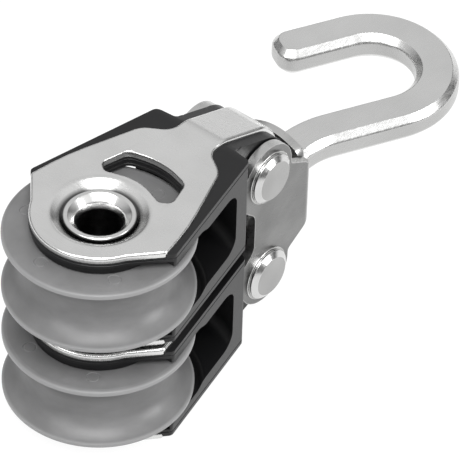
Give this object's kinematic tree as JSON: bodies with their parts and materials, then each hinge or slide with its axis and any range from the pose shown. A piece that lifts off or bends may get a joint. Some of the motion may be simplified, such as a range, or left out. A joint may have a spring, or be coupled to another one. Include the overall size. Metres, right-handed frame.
{
  "type": "double sheave block",
  "caption": "Hook block: grooved plastic sheaves on hollow axles in steel-strapped nylon cheeks, hinged side by side in a channel bracket with a swivelling flat hook.",
  "frame": {"origin": "on the sheave axis, midway between the two sheaves", "axes": "+X from the sheave axis towards the hook, +Z along the sheave axis from the lower to the upper unit, +Y across the cheeks"},
  "size_m": [0.0987, 0.0343, 0.0396],
  "materials": {
    "strap_steel": "stainless sheet, satin face with rolled bright edges",
    "rivet_steel": "polished stainless, flared and burnished",
    "bracket_steel": "tumbled stainless plate",
    "pin_steel": "turned stainless bar",
    "hook_steel": "stainless flat bar, satin faces and polished bevels",
    "cheek_nylon": "moulded glass-filled nylon, low sheen",
    "sheave_acetal": "moulded grey acetal",
    "hub_acetal": "machined acetal",
    "ball_acetal": "ground acetal balls",
    "bush_brass": "drawn bronze tube"
  },
  "bodies": {
    "head": {"bracket": "bracket_steel", "upper_head_pin": "pin_steel", "lower_head_pin": "pin_steel"},
    "hook_swivel_body": {"hook": "hook_steel", "hook_washer": "pin_steel"},
    "upper_unit": {"upper_strap": "strap_steel", "upper_cheek_top": "cheek_nylon", "upper_cheek_bottom": "cheek_nylon", "upper_axle_rivet": "rivet_steel", "upper_bearing_hub": "hub_acetal", "upper_head_bush": "bush_brass"},
    "upper_wheel": {"upper_sheave": "sheave_acetal"},
    "upper_ball_set": {"upper_balls_top_row": "ball_acetal", "upper_balls_bottom_row": "ball_acetal"},
    "lower_unit": {"lower_strap": "strap_steel", "lower_cheek_top": "cheek_nylon", "lower_cheek_bottom": "cheek_nylon", "lower_axle_rivet": "rivet_steel", "lower_bearing_hub": "hub_acetal", "lower_head_bush": "bush_brass"},
    "lower_wheel": {"lower_sheave": "sheave_acetal"},
    "lower_ball_set": {"lower_balls_top_row": "ball_acetal", "lower_balls_bottom_row": "ball_acetal"}
  },
  "joints": [
    {"name": "hook_swivel", "type": "hinge", "parent": "head", "child": "hook_swivel_body", "pos_m": [0.0431, 0, 0], "axis": [1, 0, 0], "continuous": true},
    {"name": "upper_unit_swing", "type": "hinge", "parent": "head", "child": "upper_unit", "pos_m": [0.0312, 0, 0.0101], "axis": [0, 1, 0], "range_deg": [0, 120]},
    {"name": "upper_sheave_spin", "type": "hinge", "parent": "upper_unit", "child": "upper_wheel", "pos_m": [0, 0, 0.0101], "axis": [0, 0, 1], "continuous": true},
    {"name": "upper_balls_roll", "type": "hinge", "parent": "upper_unit", "child": "upper_ball_set", "pos_m": [0, 0, 0.0101], "axis": [0, 0, 1], "continuous": true},
    {"name": "lower_unit_swing", "type": "hinge", "parent": "head", "child": "lower_unit", "pos_m": [0.0312, 0, -0.0101], "axis": [0, -1, 0], "range_deg": [0, 120]},
    {"name": "lower_sheave_spin", "type": "hinge", "parent": "lower_unit", "child": "lower_wheel", "pos_m": [0, 0, -0.0101], "axis": [0, 0, 1], "continuous": true},
    {"name": "lower_balls_roll", "type": "hinge", "parent": "lower_unit", "child": "lower_ball_set", "pos_m": [0, 0, -0.0101], "axis": [0, 0, 1], "continuous": true}
  ],
  "couplings": [
    {"joint": "upper_balls_roll", "follows": "upper_sheave_spin", "ratio": 0.5974},
    {"joint": "lower_balls_roll", "follows": "lower_sheave_spin", "ratio": 0.5974}
  ]
}
